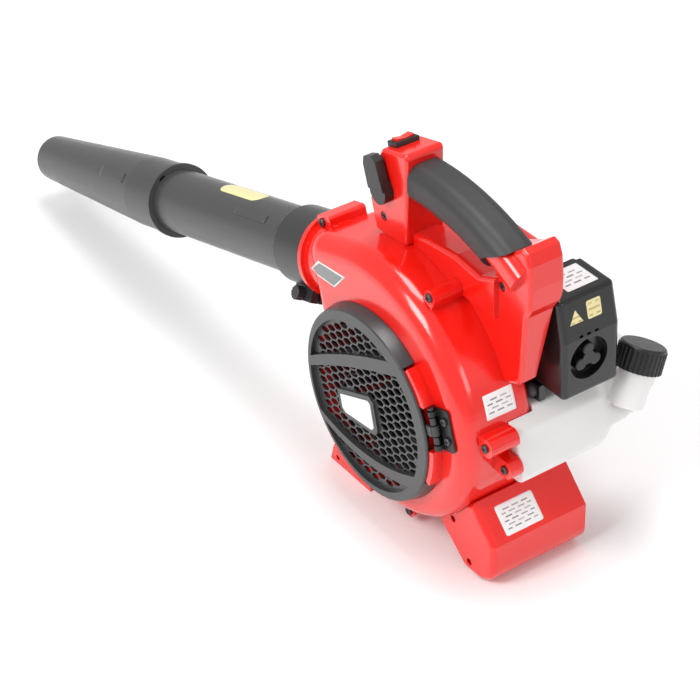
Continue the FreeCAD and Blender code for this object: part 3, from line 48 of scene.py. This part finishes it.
def moulded(name, colour, rough, grain_per_metre, grain_height, ripple=0.0, gloss=0.0):
    """Moulded plastic: a fine grain, uneven colour and shine, soft edges and an optional ripple."""
    edge = 0.0006
    mat = bpy.data.materials.new(name)
    mat.use_nodes = True
    tree = mat.node_tree
    shader = tree.nodes["Principled BSDF"]
    shader.inputs["Coat Weight"].default_value = gloss
    shader.inputs["Coat Roughness"].default_value = 0.07
    place = tree.nodes.new("ShaderNodeTexCoord").outputs["Object"]
    cloud = tree.nodes.new("ShaderNodeTexNoise")
    cloud.inputs["Scale"].default_value = 9.0
    cloud.inputs["Detail"].default_value = 4.0
    tree.links.new(place, cloud.inputs["Vector"])
    tint = tree.nodes.new("ShaderNodeMix")
    tint.data_type = "RGBA"
    tint.inputs[6].default_value = [0.9 * c for c in colour[:3]] + [1]
    tint.inputs[7].default_value = colour
    tree.links.new(cloud.outputs["Fac"], tint.inputs[0])
    tree.links.new(tint.outputs[2], shader.inputs["Base Color"])
    smear = tree.nodes.new("ShaderNodeTexNoise")
    smear.inputs["Scale"].default_value = 60.0
    smear.inputs["Detail"].default_value = 6.0
    tree.links.new(place, smear.inputs["Vector"])
    wear = tree.nodes.new("ShaderNodeMapRange")
    wear.inputs["To Min"].default_value = rough - 0.05
    wear.inputs["To Max"].default_value = rough + 0.06
    tree.links.new(smear.outputs["Fac"], wear.inputs["Value"])
    tree.links.new(wear.outputs["Result"], shader.inputs["Roughness"])
    soft = tree.nodes.new("ShaderNodeBevel")
    soft.samples = 4
    soft.inputs["Radius"].default_value = edge
    wave = tree.nodes.new("ShaderNodeBump")
    wave.inputs["Distance"].default_value = ripple
    tree.links.new(cloud.outputs["Fac"], wave.inputs["Height"])
    tree.links.new(soft.outputs["Normal"], wave.inputs["Normal"])
    grain = tree.nodes.new("ShaderNodeTexNoise")
    grain.inputs["Scale"].default_value = grain_per_metre
    grain.inputs["Detail"].default_value = 2.0
    tree.links.new(place, grain.inputs["Vector"])
    skin = tree.nodes.new("ShaderNodeBump")
    skin.inputs["Distance"].default_value = grain_height
    tree.links.new(grain.outputs["Fac"], skin.inputs["Height"])
    tree.links.new(wave.outputs["Normal"], skin.inputs["Normal"])
    tree.links.new(skin.outputs["Normal"], shader.inputs["Normal"])
    return mat


def finish_pieces(mat, *names):
    """Give CAD pieces their finish."""
    for name in names:
        nodes[name].data.materials.clear()
        nodes[name].data.materials.append(mat)


red_shell = moulded("red_shell", housing_red, 0.2, 1800, 0.000006, ripple=0.0005, gloss=0.5)
finish_pieces(red_shell, "volute_left", "volute_right")

# ---- screws -----------------------------------------------------------------------------------
# Pan-head screws of blackened steel hold the shells, the hinge, the guard and the handle.
# Their heads are worn a little brighter on the rim.


def metal(name, colour, rough, streak_per_metre=900.0):
    """Bare or plated metal with fine, uneven streaks."""
    mat = bpy.data.materials.new(name)
    mat.use_nodes = True
    tree = mat.node_tree
    shader = tree.nodes["Principled BSDF"]
    shader.inputs["Metallic"].default_value = 1.0
    place = tree.nodes.new("ShaderNodeTexCoord").outputs["Object"]
    streak = tree.nodes.new("ShaderNodeTexNoise")
    streak.inputs["Scale"].default_value = streak_per_metre
    streak.inputs["Detail"].default_value = 5.0
    tree.links.new(place, streak.inputs["Vector"])
    shine = tree.nodes.new("ShaderNodeMapRange")
    shine.inputs["To Min"].default_value = rough - 0.08
    shine.inputs["To Max"].default_value = rough + 0.12
    tree.links.new(streak.outputs["Fac"], shine.inputs["Value"])
    tree.links.new(shine.outputs["Result"], shader.inputs["Roughness"])
    tint = tree.nodes.new("ShaderNodeMix")
    tint.data_type = "RGBA"
    tint.inputs[6].default_value = [0.78 * c for c in colour[:3]] + [1]
    tint.inputs[7].default_value = colour
    tree.links.new(streak.outputs["Fac"], tint.inputs[0])
    tree.links.new(tint.outputs[2], shader.inputs["Base Color"])
    soft = tree.nodes.new("ShaderNodeBevel")
    soft.samples = 4
    soft.inputs["Radius"].default_value = 0.0003
    tree.links.new(soft.outputs["Normal"], shader.inputs["Normal"])
    return mat


black_screw = metal("black_screw", (0.11, 0.11, 0.115, 1), 0.34)
finish_pieces(black_screw, "housing_screws", "handle_screws", "hinge_screws", "guard_latch_screw",
              "engine_screws")

# ---- intake guard --------------------------------------------------------------------------------
# A round grille of charcoal nylon with a honeycomb of fine ribs, moulded in one piece.
# It keeps leaves and fingers out of the fan, and its surface is a satin grain.
guard_plastic = moulded("guard_plastic", (0.045, 0.045, 0.047, 1), 0.3, 1400, 0.00003)
finish_pieces(guard_plastic, "intake_guard")

# ---- badge plate ----------------------------------------------------------------------------------
# A blank white plate set in the middle bar of the guard, pressed from thin plastic.
# It is left without any mark.
badge_white = moulded("badge_white", (0.82, 0.82, 0.82, 1), 0.3, 900, 0.000004)
finish_pieces(badge_white, "guard_badge")

# ---- guard hinge ----------------------------------------------------------------------------------
# A black bracket screwed to the housing, with a steel pin and two sprung coils.
# The springs push the guard shut, and all of it is blackened.
hinge_black = moulded("hinge_black", (0.010, 0.010, 0.0105, 1), 0.34, 1400, 0.00003)
finish_pieces(hinge_black, "guard_hinge")
hinge_steel = metal("hinge_steel", (0.09, 0.09, 0.095, 1), 0.36)
finish_pieces(hinge_steel, "guard_hinge_pin", "guard_springs")

# ---- blow tube and nozzle --------------------------------------------------------------------------
# Dark grey polypropylene: a straight upper tube, and a nozzle that tapers and locks on with pegs.
# The satin skin shows faint lengthwise unevenness from the mould.
tube_grey = moulded("tube_grey", (0.052, 0.052, 0.054, 1), 0.3, 1000, 0.00003, ripple=0.0002)
finish_pieces(tube_grey, "upper_tube", "nozzle")

tube_droop = math.radians(16.5)
fan_axis = Vector((0, -0.124, 0.148))
level = Matrix.Translation(fan_axis) @ Matrix.Rotation(-tube_droop, 4, "Y")
tube_middle = Vector((0, 0.056, 0.120))
tube_radius = 0.035


def rounded(width, height, corner, steps=5):
    """Outline of a rectangle with round corners, as points about its middle."""
    points = []
    for quarter, (sx, sy) in enumerate(((1, 1), (-1, 1), (-1, -1), (1, -1))):
        hub = (sx * (width / 2 - corner), sy * (height / 2 - corner))
        for step in range(steps + 1):
            a = math.radians(90 * (quarter + step / steps))
            points.append((hub[0] + corner * math.cos(a), hub[1] + corner * math.sin(a)))
    return points


def with_points_between(outline):
    """The same outline with its long sides divided, so that they can follow a curved surface."""
    longest = 0.002
    points = []
    for p, q in zip(outline, outline[1:] + outline[:1]):
        parts = max(1, math.ceil(math.dist(p, q) / longest))
        points += [(p[0] + (q[0] - p[0]) * i / parts, p[1] + (q[1] - p[1]) * i / parts)
                   for i in range(parts)]
    return points


def laid_on(name, support, middle, along, out, corners, lift, mat, body):
    """A thin piece laid on the surface of a CAD piece, following its curve."""
    rings = 10
    sunk = -0.00005
    outline = with_points_between(corners)
    out = out.normalized()
    along = (along - out * along.dot(out)).normalized()
    across = out.cross(along)
    surface = BVHTree.FromPolygons([v.co for v in support.data.vertices],
                                   [p.vertices for p in support.data.polygons])
    reach = 0.02
    wide = max(abs(u) for u, v in outline)
    high = max(abs(v) for u, v in outline)
    mesh = bmesh.new()
    print_uv = mesh.loops.layers.uv.new("print")
    levels = []
    spots = {}
    for height in (lift, sunk):
        layer = []
        for ring in range(rings + 1):
            share = ring / rings
            circle = []
            for u, v in (outline if ring else outline[:1]):
                flat = middle + along * (u * share) + across * (v * share)
                found = surface.ray_cast(flat + out * reach, -out, 2 * reach)[0]
                spot = (found if found else flat) + out * height
                vert = mesh.verts.new(spot)
                spots[vert] = (0.5 + 0.5 * u * share / wide, 0.5 + 0.5 * v * share / high)
                circle.append(vert)
            layer.append(circle)
        levels.append(layer)
    count = len(outline)
    for layer, upward in zip(levels, (True, False)):
        for i in range(count):
            k = (i + 1) % count
            fan = [layer[0][0], layer[1][i], layer[1][k]]
            mesh.faces.new(fan if upward else fan[::-1])
            for inner, outer in zip(layer[1:], layer[2:]):
                quad = [inner[i], outer[i], outer[k], inner[k]]
                mesh.faces.new(quad if upward else quad[::-1])
    for i in range(count):
        k = (i + 1) % count
        mesh.faces.new([levels[0][-1][i], levels[1][-1][i], levels[1][-1][k], levels[0][-1][k]])
    for face in mesh.faces:
        face.smooth = True
        for loop in face.loops:
            loop[print_uv].uv = spots[loop.vert]
    data = bpy.data.meshes.new(name)
    mesh.to_mesh(data)
    mesh.free()
    data.materials.append(mat)
    piece = bpy.data.objects.new(name, data)
    bpy.context.collection.objects.link(piece)
    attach(piece, body)
    return piece


def round_tube(x, degrees, radius):
    """A place on the tube and its outward direction; 90 degrees is the top and 180 the intake side."""
    a = math.radians(degrees)
    out = Vector((0, math.cos(a), math.sin(a)))
    return level @ (tube_middle + Vector((x, 0, 0)) + out * radius), level.to_3x3() @ out


tube_along = level.to_3x3() @ Vector((1, 0, 0))
rib_corner = 0.0012
rib_height = 0.0009
for name, support, x, turn, size, radius, body in (
        ("tube_rib", "upper_tube", -0.215, 128, (0.062, 0.009), tube_radius, "tube"),
        ("nozzle_rib", "nozzle", -0.515, 140, (0.060, 0.012), 0.0375, "nozzle")):
    spot, out = round_tube(x, turn, radius)
    rib = laid_on(name, nodes[support], spot, tube_along, out, rounded(*size, rib_corner), rib_height,
                  tube_grey, body)

# ---- tube clamp -----------------------------------------------------------------------------------
# A split collar of the same grey plastic squeezes the tube onto the outlet.
# A plated bolt with a ribbed black head pulls its two ears together.
clamp_grey = moulded("clamp_grey", (0.028, 0.028, 0.029, 1), 0.3, 1100, 0.00003)
finish_pieces(clamp_grey, "tube_clamp", "clamp_bolt")
plated = metal("plated_steel", (0.62, 0.62, 0.63, 1), 0.28)
finish_pieces(plated, "clamp_nut")

# ---- fan and crankshaft ---------------------------------------------------------------------------
# A black nylon fan on a ground steel shaft, held by a nut, with a cast flywheel at the far end.
# The fan is seen through the honeycomb of the guard.
fan_black = moulded("fan_black", (0.035, 0.035, 0.036, 1), 0.5, 900, 0.00002)
finish_pieces(fan_black, "impeller")
ground_steel = metal("ground_steel", (0.55, 0.55, 0.56, 1), 0.22)
finish_pieces(ground_steel, "crankshaft", "fan_nut", "flywheel_nut", "crank_bearings", "wrist_pin",
              "recoil_spring", "throttle_shaft")

# ---- engine ---------------------------------------------------------------------------------------
# Die-cast aluminium crankcase, finned cylinder, piston, rod and carburettor.
# The castings have a fine sandy skin and are duller than the machined faces.


def cast(name, colour):
    """Die-cast metal with a sandy skin."""
    mat = metal(name, colour, 0.46, streak_per_metre=400.0)
    tree = mat.node_tree
    shader = tree.nodes["Principled BSDF"]
    sand = tree.nodes.new("ShaderNodeTexNoise")
    sand.inputs["Scale"].default_value = 1500.0
    tree.links.new(tree.nodes.new("ShaderNodeTexCoord").outputs["Object"], sand.inputs["Vector"])
    skin = tree.nodes.new("ShaderNodeBump")
    skin.inputs["Distance"].default_value = 0.00006
    tree.links.new(sand.outputs["Fac"], skin.inputs["Height"])
    tree.links.new(skin.outputs["Normal"], shader.inputs["Normal"])
    return mat


casting = cast("casting", (0.52, 0.52, 0.53, 1))
finish_pieces(casting, "crankcase_front", "crankcase_rear", "cylinder", "piston", "connecting_rod", "flywheel",
              "carburettor")
porcelain = moulded("porcelain", (0.86, 0.86, 0.84, 1), 0.18, 500, 0.000002, gloss=0.4)
finish_pieces(porcelain, "spark_plug")
engine_rubber = moulded("engine_rubber", (0.03, 0.03, 0.031, 1), 0.62, 1800, 0.00005)
finish_pieces(engine_rubber, "plug_boot")
engine_black = moulded("engine_black", (0.04, 0.04, 0.042, 1), 0.45, 1400, 0.00003)
finish_pieces(engine_black, "ignition_coil", "intake_insulator")
finish_pieces(red_shell, "engine_shroud")

# ---- muffler --------------------------------------------------------------------------------------
# A pressed steel box browned by heat, behind a slotted black guard.
# A fibre gasket seals it to the cylinder.
heated = metal("heated_steel", (0.30, 0.25, 0.21, 1), 0.42)
finish_pieces(heated, "muffler")
gasket_fibre = moulded("gasket_fibre", (0.20, 0.20, 0.18, 1), 0.8, 700, 0.00006)
finish_pieces(gasket_fibre, "muffler_gasket")
guard_black = moulded("guard_black", (0.045, 0.045, 0.047, 1), 0.44, 1400, 0.00004)
finish_pieces(guard_black, "muffler_guard")

# ---- starter --------------------------------------------------------------------------------------
# A round black cover with cooling slots, a pulley, a braided rope and its pull handle.
# The rope is pale nylon braid, and the handle is a plain grip bar.
starter_black = moulded("starter_black", (0.045, 0.045, 0.047, 1), 0.42, 1300, 0.00003)
finish_pieces(starter_black, "starter_housing", "starter_pulley", "starter_handle")
rope_braid = moulded("rope_braid", (0.66, 0.66, 0.62, 1), 0.8, 1200, 0.0002)
finish_pieces(rope_braid, "starter_rope")

# ---- air filter -----------------------------------------------------------------------------------
# A black cover over a foam element, held by a three-lobed knob in a round dish.
# Two blank yellow labels are stuck on its rear face and a blank white one on its top.
filter_black = moulded("filter_black", (0.010, 0.010, 0.0105, 1), 0.24, 1300, 0.00002, gloss=0.1)
finish_pieces(filter_black, "air_filter_cover", "air_filter_base")
knob_black = moulded("knob_black", (0.008, 0.008, 0.0085, 1), 0.34, 1300, 0.00003)
finish_pieces(knob_black, "cover_knob")
foam = moulded("foam", (0.10, 0.10, 0.10, 1), 0.9, 500, 0.0006)
finish_pieces(foam, "air_filter_element")
bulb_rubber = moulded("bulb_rubber", (0.045, 0.045, 0.047, 1), 0.45, 1800, 0.00003)
finish_pieces(bulb_rubber, "primer_bulb")


def printed(name, paper, ink, rows, columns):
    """A glossy stuck-on label with rows of plain printed bars and a bare margin."""
    mat = bpy.data.materials.new(name)
    mat.use_nodes = True
    tree = mat.node_tree
    shader = tree.nodes["Principled BSDF"]
    shader.inputs["Coat Weight"].default_value = 0.3
    place = tree.nodes.new("ShaderNodeUVMap")
    place.uv_map = "print"
    bars = tree.nodes.new("ShaderNodeTexBrick")
    bars.inputs["Scale"].default_value = 1.0
    bars.inputs["Brick Width"].default_value = 1.0 / columns
    bars.inputs["Row Height"].default_value = 1.0 / rows
    bars.inputs["Mortar Size"].default_value = 0.32 / rows
    bars.inputs["Mortar Smooth"].default_value = 0.0
    bars.inputs["Color1"].default_value = ink
    bars.inputs["Color2"].default_value = [0.5 * (a + b) for a, b in zip(ink, paper)]
    bars.inputs["Mortar"].default_value = paper
    tree.links.new(place.outputs["UV"], bars.inputs["Vector"])
    split = tree.nodes.new("ShaderNodeSeparateXYZ")
    tree.links.new(place.outputs["UV"], split.inputs["Vector"])
    inside = None
    for axis, half in (("X", 0.40), ("Y", 0.38)):
        close = tree.nodes.new("ShaderNodeMath")
        close.operation = "COMPARE"
        close.inputs[1].default_value = 0.5
        close.inputs[2].default_value = half
        tree.links.new(split.outputs[axis], close.inputs[0])
        if inside:
            both = tree.nodes.new("ShaderNodeMath")
            both.operation = "MULTIPLY"
            tree.links.new(inside, both.inputs[0])
            tree.links.new(close.outputs["Value"], both.inputs[1])
            inside = both.outputs["Value"]
        else:
            inside = close.outputs["Value"]
    sheet = tree.nodes.new("ShaderNodeMix")
    sheet.data_type = "RGBA"
    sheet.inputs[6].default_value = paper
    tree.links.new(inside, sheet.inputs[0])
    tree.links.new(bars.outputs["Color"], sheet.inputs[7])
    tree.links.new(sheet.outputs[2], shader.inputs["Base Color"])
    sheen = tree.nodes.new("ShaderNodeTexNoise")
    sheen.inputs["Scale"].default_value = 300.0
    tree.links.new(tree.nodes.new("ShaderNodeTexCoord").outputs["Object"], sheen.inputs["Vector"])
    rough = tree.nodes.new("ShaderNodeMapRange")
    rough.inputs["To Min"].default_value = 0.28
    rough.inputs["To Max"].default_value = 0.42
    tree.links.new(sheen.outputs["Fac"], rough.inputs["Value"])
    tree.links.new(rough.outputs["Result"], shader.inputs["Roughness"])
    return mat


label_lift = 0.0002
white = (0.84, 0.84, 0.84, 1)
grey_ink = (0.16, 0.16, 0.17, 1)
pale_yellow = (0.80, 0.70, 0.34, 1)
brown_ink = (0.50, 0.36, 0.16, 1)
filter_print = printed("filter_print", white, grey_ink, 6, 3)
yellow_print = printed("yellow_print", pale_yellow, brown_ink, 3, 1)
cover = nodes["air_filter_cover"]
rear_out = Vector((0.97, 0, 0.24))
triangle = [(0.0088 * math.cos(math.radians(a)), 0.0088 * math.sin(math.radians(a)) - 0.0015)
            for a in (90, 210, 330)]
laid_on("cover_label_top", cover, Vector((0.1325, 0.0195, 0.310)), Vector((0, 1, 0)), Vector((0, 0, 1)),
        rounded(0.036, 0.033, 0.0015), label_lift, filter_print, "filter_cover")
laid_on("cover_label_left", cover, Vector((0.1630, 0.0, 0.2905)), Vector((0, 1, 0)), rear_out, triangle,
        label_lift, yellow_print, "filter_cover")
laid_on("cover_label_right", cover, Vector((0.1625, 0.0215, 0.2925)), Vector((0, 1, 0)), rear_out,
        rounded(0.0165, 0.018, 0.002), label_lift, yellow_print, "filter_cover")

# ---- labels of the housing, the stand and the tube ------------------------------------------------
# Thin glossy stickers with plain printed bars in place of their text.
# They follow the curve of the shells that they are stuck to.
housing_print = printed("housing_print", white, grey_ink, 6, 3)
rating_print = printed("rating_print", white, grey_ink, 8, 4)
tube_print = printed("tube_print", pale_yellow, brown_ink, 4, 6)
badge_grey = moulded("badge_grey", (0.22, 0.22, 0.225, 1), 0.3, 900, 0.000004)
shell = nodes["volute_left"]
laid_on("housing_label", shell, Vector((0.1315, -0.0625, 0.2035)), Vector((0, 1, 0)),
        Vector((0.94, 0, 0.34)), rounded(0.034, 0.025, 0.0012), label_lift, housing_print, "blower")
laid_on("stand_label", nodes["stand"], Vector((0.1415, -0.0455, 0.0688)), Vector((0, 1, 0)),
        Vector((0.707, 0, 0.707)), rounded(0.045, 0.031, 0.0025), label_lift, rating_print, "blower")
spot, out = round_tube(-0.267, 84, tube_radius)
laid_on("tube_label", nodes["upper_tube"], spot, tube_along, out, rounded(0.080, 0.022, 0.0105, steps=8),
        label_lift, tube_print, "tube")
neck_middle = Vector((-0.081, -0.109, 0.2522))
neck_frame = [(-0.0318, -0.0110), (0.0142, -0.0083), (0.0322, 0.0132), (-0.014, 0.008)]
laid_on("neck_badge", shell, neck_middle, Vector((1, 0, 0)), Vector((0, -1, 0)), neck_frame, label_lift,
        badge_white, "blower")
laid_on("neck_badge_face", shell, neck_middle, Vector((1, 0, 0)), Vector((0, -1, 0)),
        [(0.86 * u, 0.80 * v) for u, v in neck_frame], 0.0004, badge_grey, "blower")

# ---- fuel tank ------------------------------------------------------------------------------------
# A blow-moulded tank of milky polyethylene with soft shapes and a wide neck.
# The light goes into the wall, so that it looks brighter at its edges.
tank_skin = moulded("tank_skin", (0.82, 0.81, 0.80, 1), 0.36, 700, 0.00003, ripple=0.0005, gloss=0.1)
milk = tank_skin.node_tree.nodes["Principled BSDF"]
milk.inputs["Subsurface Weight"].default_value = 0.6
milk.inputs["Subsurface Radius"].default_value = (1.0, 0.96, 0.9)
milk.inputs["Subsurface Scale"].default_value = 0.004
tank_voxel = 0.0012
tank_rounds = 14
tank = bpy.data.objects.new("tank_body", nodes["fuel_tank"].data.copy())
bpy.context.collection.objects.link(tank)
remesh = tank.modifiers.new("even", "REMESH")
remesh.mode = "VOXEL"
remesh.voxel_size = tank_voxel
soften = tank.modifiers.new("soften", "SMOOTH")
soften.factor = 0.5
soften.iterations = tank_rounds
tank_mesh = bpy.data.meshes.new_from_object(tank.evaluated_get(bpy.context.evaluated_depsgraph_get()))
tank.modifiers.clear()
tank.data = tank_mesh
tank_mesh.materials.clear()
tank_mesh.materials.append(tank_skin)
tank_mesh.shade_smooth()
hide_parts("fuel_tank")
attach(tank, "blower")
cap_black = moulded("cap_black", (0.010, 0.010, 0.0105, 1), 0.36, 1300, 0.00003)
finish_pieces(cap_black, "fuel_cap")
hose = moulded("hose", (0.22, 0.16, 0.05, 1), 0.3, 400, 0.000004, gloss=0.2)
finish_pieces(hose, "fuel_line")

# ---- handle ---------------------------------------------------------------------------------------
# Two red half shells screwed together, with a soft grip sleeve slid over the bar.
# The sleeve is matt rubber, and the trigger, lever and switch are black and red plastic.
finish_pieces(red_shell, "handle_left", "handle_right")
grip_rubber = moulded("grip_rubber", (0.030, 0.030, 0.031, 1), 0.5, 1800, 0.00006)
finish_pieces(grip_rubber, "handle_grip")
control_black = moulded("control_black", (0.012, 0.012, 0.0125, 1), 0.34, 1400, 0.00003)
finish_pieces(control_black, "throttle_trigger", "cruise_lever", "switch_bezel")
switch_red = moulded("switch_red", (0.80, 0.02, 0.01, 1), 0.28, 900, 0.00001, gloss=0.2)
finish_pieces(switch_red, "stop_rocker")

# ---- stand ----------------------------------------------------------------------------------------
# One red moulding with a front foot, a rear box and a base plate, screwed to the engine.
# The blower rests on it when it is put down.
finish_pieces(red_shell, "stand")

# ---- floor ----------------------------------------------------------------------------------------
# A plain, nearly white studio floor with a matt surface.
floor_half = 6.0
floor_mesh = bpy.data.meshes.new("floor")
floor_mesh.from_pydata([(-floor_half, -floor_half, 0), (floor_half, -floor_half, 0),
                        (floor_half, floor_half, 0), (-floor_half, floor_half, 0)], [], [(0, 1, 2, 3)])
floor = bpy.data.objects.new("floor", floor_mesh)
bpy.context.collection.objects.link(floor)
floor_mat = bpy.data.materials.new("floor")
floor_mat.use_nodes = True
floor_mat.node_tree.nodes["Principled BSDF"].inputs["Base Color"].default_value = (0.95, 0.95, 0.95, 1)
floor_mat.node_tree.nodes["Principled BSDF"].inputs["Roughness"].default_value = 0.85
floor_mesh.materials.append(floor_mat)

# ---- lights ---------------------------------------------------------------------------------------
# Soft white studio light: an even sky, a large key above the intake side, a top and a rear light.
world = bpy.data.worlds.new("studio")
world.use_nodes = True
world.node_tree.nodes["Background"].inputs["Color"].default_value = (1, 1, 1, 1)
world.node_tree.nodes["Background"].inputs["Strength"].default_value = 0.62
bpy.context.scene.world = world
bpy.context.scene.view_settings.view_transform = "Standard"
for name, place, size, power in (("key", (0.1, -1.7, 1.7), 0.9, 30), ("top", (-0.3, 0.2, 2.4), 1.0, 26),
                                 ("rear", (2.2, 0.5, 1.1), 0.8, 8)):
    lamp = bpy.data.lights.new(name, "AREA")
    lamp.size = size
    lamp.energy = power
    light = bpy.data.objects.new(name, lamp)
    bpy.context.collection.objects.link(light)
    aim = Vector((0, 0, 0.15)) - Vector(place)
    light.matrix_world = Matrix.Translation(place) @ aim.to_track_quat("-Z", "Y").to_matrix().to_4x4()

# ---- camera ---------------------------------------------------------------------------------------
# It looks down on the intake side from the rear, with a long lens.
azimuth = math.radians(56.40)
elevation = math.radians(35.85)
roll = math.radians(2.18)
back = Vector((math.sin(azimuth) * math.cos(elevation), -math.cos(azimuth) * math.cos(elevation),
               math.sin(elevation)))
level_right = Vector((0, 0, 1)).cross(back).normalized()
level_up = back.cross(level_right)
right = level_right * math.cos(roll) - level_up * math.sin(roll)
up = level_up * math.cos(roll) + level_right * math.sin(roll)
eye = Matrix((right, up, back)).transposed().to_4x4()
eye.translation = (1.48855, -1.12798, 1.51275)
lens = bpy.data.cameras.new("camera")
lens.lens = 120.0
lens.sensor_width = 36.0
camera = bpy.data.objects.new("camera", lens)
bpy.context.collection.objects.link(camera)
camera.matrix_world = eye
bpy.context.scene.camera = camera
